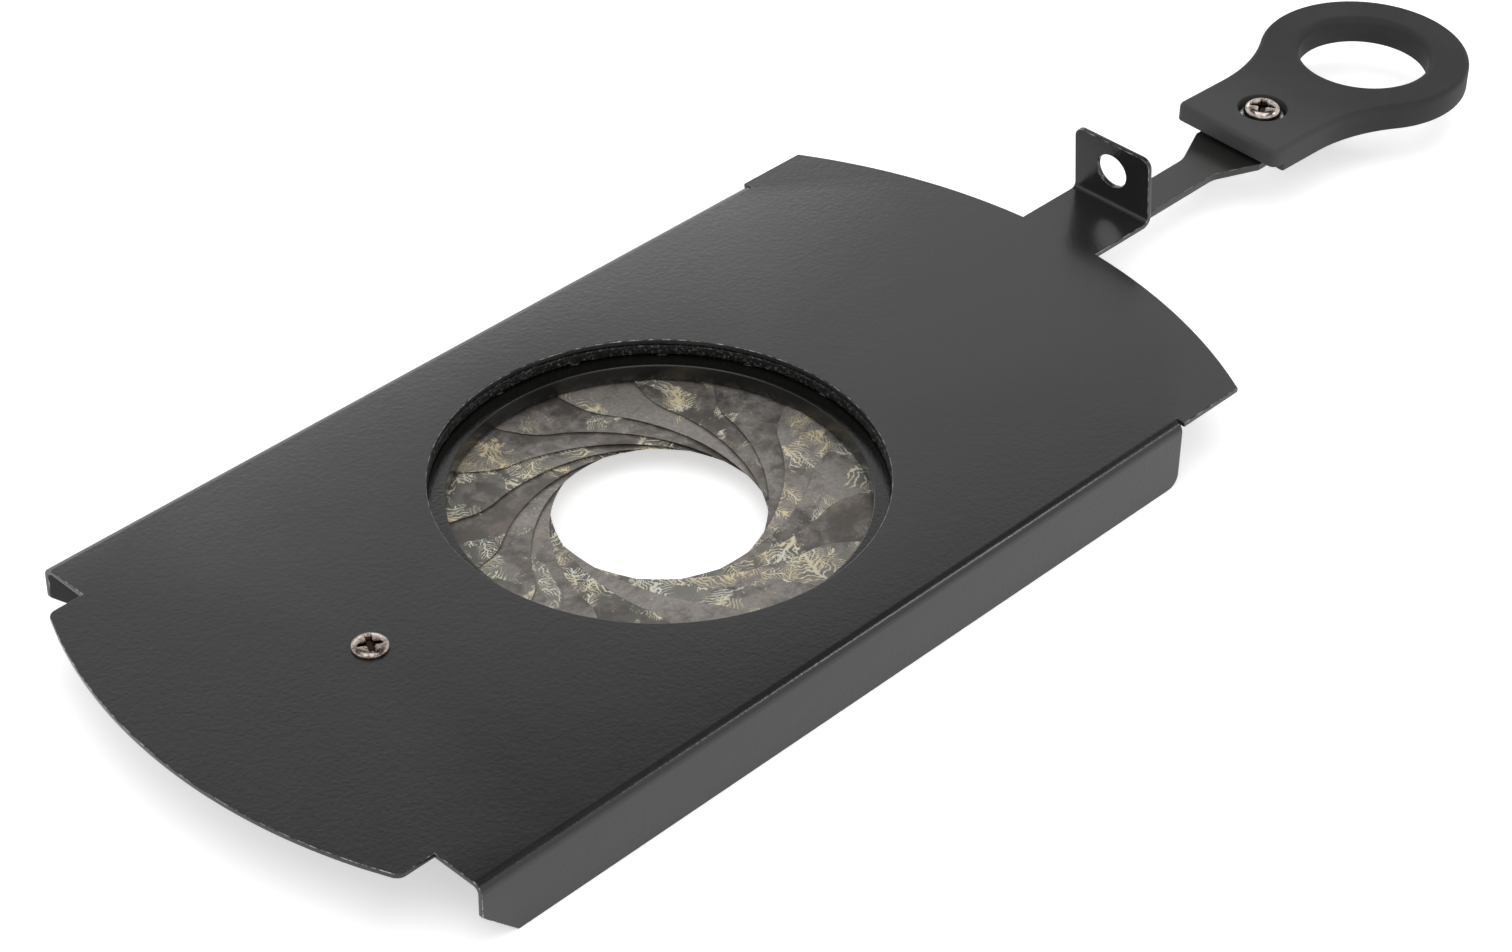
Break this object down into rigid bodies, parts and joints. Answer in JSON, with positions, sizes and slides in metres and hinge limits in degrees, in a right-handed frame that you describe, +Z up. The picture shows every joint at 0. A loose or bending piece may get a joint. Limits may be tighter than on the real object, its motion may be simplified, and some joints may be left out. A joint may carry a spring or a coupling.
{
  "type": "iris diaphragm",
  "caption": "Drop-in iris diaphragm: folded carrier plate with side runners and upturned ear, swivelling lever ring with finger-ring handle, and overlapping blades round a beam opening.",
  "frame": {"origin": "on the surface that the part lies on, under the middle of its bounding box; the iris axis stands 56.2 mm from it towards -X", "axes": "+X along the plate towards the handle, +Y towards the left flange seen from the near end, +Z up out of the plate's top face, along the beam"},
  "size_m": [0.3256, 0.1084, 0.0276],
  "materials": {
    "powder_coat": "fine-textured semi-gloss black powder coat",
    "rough_black": "coarse matt black coating",
    "blackened_steel": "smooth black, satin",
    "blade_steel": "heat-stained thin spring steel",
    "plated_steel": "nickel plated",
    "soft_touch": "matt soft-touch moulding"
  },
  "bodies": {
    "carrier": {"carrier_plate": "powder_coat", "cover_ring": "rough_black", "cup_housing": "rough_black", "plate_screw": "plated_steel", "fixing_washer_near": "plated_steel", "fixing_washer_right": "plated_steel", "fixing_washer_left": "plated_steel", "fixing_nut_near": "plated_steel", "fixing_nut_right": "plated_steel", "fixing_nut_left": "plated_steel"},
    "lever": {"lever_ring": "blackened_steel", "handle": "soft_touch", "handle_screw": "plated_steel", "handle_washer": "plated_steel", "handle_nut": "plated_steel"},
    "blade_01_body": {"blade_01": "blade_steel"},
    "blade_02_body": {"blade_02": "blade_steel"},
    "blade_03_body": {"blade_03": "blade_steel"},
    "blade_04_body": {"blade_04": "blade_steel"},
    "blade_05_body": {"blade_05": "blade_steel"},
    "blade_06_body": {"blade_06": "blade_steel"},
    "blade_07_body": {"blade_07": "blade_steel"},
    "blade_08_body": {"blade_08": "blade_steel"},
    "blade_09_body": {"blade_09": "blade_steel"},
    "blade_10_body": {"blade_10": "blade_steel"},
    "blade_11_body": {"blade_11": "blade_steel"},
    "blade_12_body": {"blade_12": "blade_steel"},
    "blade_13_body": {"blade_13": "blade_steel"},
    "blade_14_body": {"blade_14": "blade_steel"},
    "blade_15_body": {"blade_15": "blade_steel"},
    "blade_16_body": {"blade_16": "blade_steel"}
  },
  "joints": [
    {"name": "lever_swing", "type": "hinge", "parent": "carrier", "child": "lever", "pos_m": [-0.05623, 0, 0.00925], "axis": [0, 0, 1], "range_deg": [-31, 31]},
    {"name": "blade_01_turn", "type": "hinge", "parent": "carrier", "child": "blade_01_body", "pos_m": [-0.01023, 0, 0.002], "axis": [0, 0, 1], "range_deg": [-19.25, 19.25]},
    {"name": "blade_02_turn", "type": "hinge", "parent": "carrier", "child": "blade_02_body", "pos_m": [-0.01373, 0.0176, 0.002], "axis": [0, 0, 1], "range_deg": [-19.25, 19.25]},
    {"name": "blade_03_turn", "type": "hinge", "parent": "carrier", "child": "blade_03_body", "pos_m": [-0.0237, 0.03253, 0.002], "axis": [0, 0, 1], "range_deg": [-19.25, 19.25]},
    {"name": "blade_04_turn", "type": "hinge", "parent": "carrier", "child": "blade_04_body", "pos_m": [-0.03863, 0.0425, 0.002], "axis": [0, 0, 1], "range_deg": [-19.25, 19.25]},
    {"name": "blade_05_turn", "type": "hinge", "parent": "carrier", "child": "blade_05_body", "pos_m": [-0.05623, 0.046, 0.002], "axis": [0, 0, 1], "range_deg": [-19.25, 19.25]},
    {"name": "blade_06_turn", "type": "hinge", "parent": "carrier", "child": "blade_06_body", "pos_m": [-0.07383, 0.0425, 0.002], "axis": [0, 0, 1], "range_deg": [-19.25, 19.25]},
    {"name": "blade_07_turn", "type": "hinge", "parent": "carrier", "child": "blade_07_body", "pos_m": [-0.08876, 0.03253, 0.002], "axis": [0, 0, 1], "range_deg": [-19.25, 19.25]},
    {"name": "blade_08_turn", "type": "hinge", "parent": "carrier", "child": "blade_08_body", "pos_m": [-0.09873, 0.0176, 0.002], "axis": [0, 0, 1], "range_deg": [-19.25, 19.25]},
    {"name": "blade_09_turn", "type": "hinge", "parent": "carrier", "child": "blade_09_body", "pos_m": [-0.10223, 0, 0.002], "axis": [0, 0, 1], "range_deg": [-19.25, 19.25]},
    {"name": "blade_10_turn", "type": "hinge", "parent": "carrier", "child": "blade_10_body", "pos_m": [-0.09873, -0.0176, 0.002], "axis": [0, 0, 1], "range_deg": [-19.25, 19.25]},
    {"name": "blade_11_turn", "type": "hinge", "parent": "carrier", "child": "blade_11_body", "pos_m": [-0.08876, -0.03253, 0.002], "axis": [0, 0, 1], "range_deg": [-19.25, 19.25]},
    {"name": "blade_12_turn", "type": "hinge", "parent": "carrier", "child": "blade_12_body", "pos_m": [-0.07383, -0.0425, 0.002], "axis": [0, 0, 1], "range_deg": [-19.25, 19.25]},
    {"name": "blade_13_turn", "type": "hinge", "parent": "carrier", "child": "blade_13_body", "pos_m": [-0.05623, -0.046, 0.002], "axis": [0, 0, 1], "range_deg": [-19.25, 19.25]},
    {"name": "blade_14_turn", "type": "hinge", "parent": "carrier", "child": "blade_14_body", "pos_m": [-0.03863, -0.0425, 0.002], "axis": [0, 0, 1], "range_deg": [-19.25, 19.25]},
    {"name": "blade_15_turn", "type": "hinge", "parent": "carrier", "child": "blade_15_body", "pos_m": [-0.0237, -0.03253, 0.002], "axis": [0, 0, 1], "range_deg": [-19.25, 19.25]},
    {"name": "blade_16_turn", "type": "hinge", "parent": "carrier", "child": "blade_16_body", "pos_m": [-0.01373, -0.0176, 0.002], "axis": [0, 0, 1], "range_deg": [-19.25, 19.25]}
  ],
  "couplings": [
    {"joint": "blade_01_turn", "follows": "lever_swing", "ratio": 0.62},
    {"joint": "blade_02_turn", "follows": "lever_swing", "ratio": 0.62},
    {"joint": "blade_03_turn", "follows": "lever_swing", "ratio": 0.62},
    {"joint": "blade_04_turn", "follows": "lever_swing", "ratio": 0.62},
    {"joint": "blade_05_turn", "follows": "lever_swing", "ratio": 0.62},
    {"joint": "blade_06_turn", "follows": "lever_swing", "ratio": 0.62},
    {"joint": "blade_07_turn", "follows": "lever_swing", "ratio": 0.62},
    {"joint": "blade_08_turn", "follows": "lever_swing", "ratio": 0.62},
    {"joint": "blade_09_turn", "follows": "lever_swing", "ratio": 0.62},
    {"joint": "blade_10_turn", "follows": "lever_swing", "ratio": 0.62},
    {"joint": "blade_11_turn", "follows": "lever_swing", "ratio": 0.62},
    {"joint": "blade_12_turn", "follows": "lever_swing", "ratio": 0.62},
    {"joint": "blade_13_turn", "follows": "lever_swing", "ratio": 0.62},
    {"joint": "blade_14_turn", "follows": "lever_swing", "ratio": 0.62},
    {"joint": "blade_15_turn", "follows": "lever_swing", "ratio": 0.62},
    {"joint": "blade_16_turn", "follows": "lever_swing", "ratio": 0.62}
  ]
}
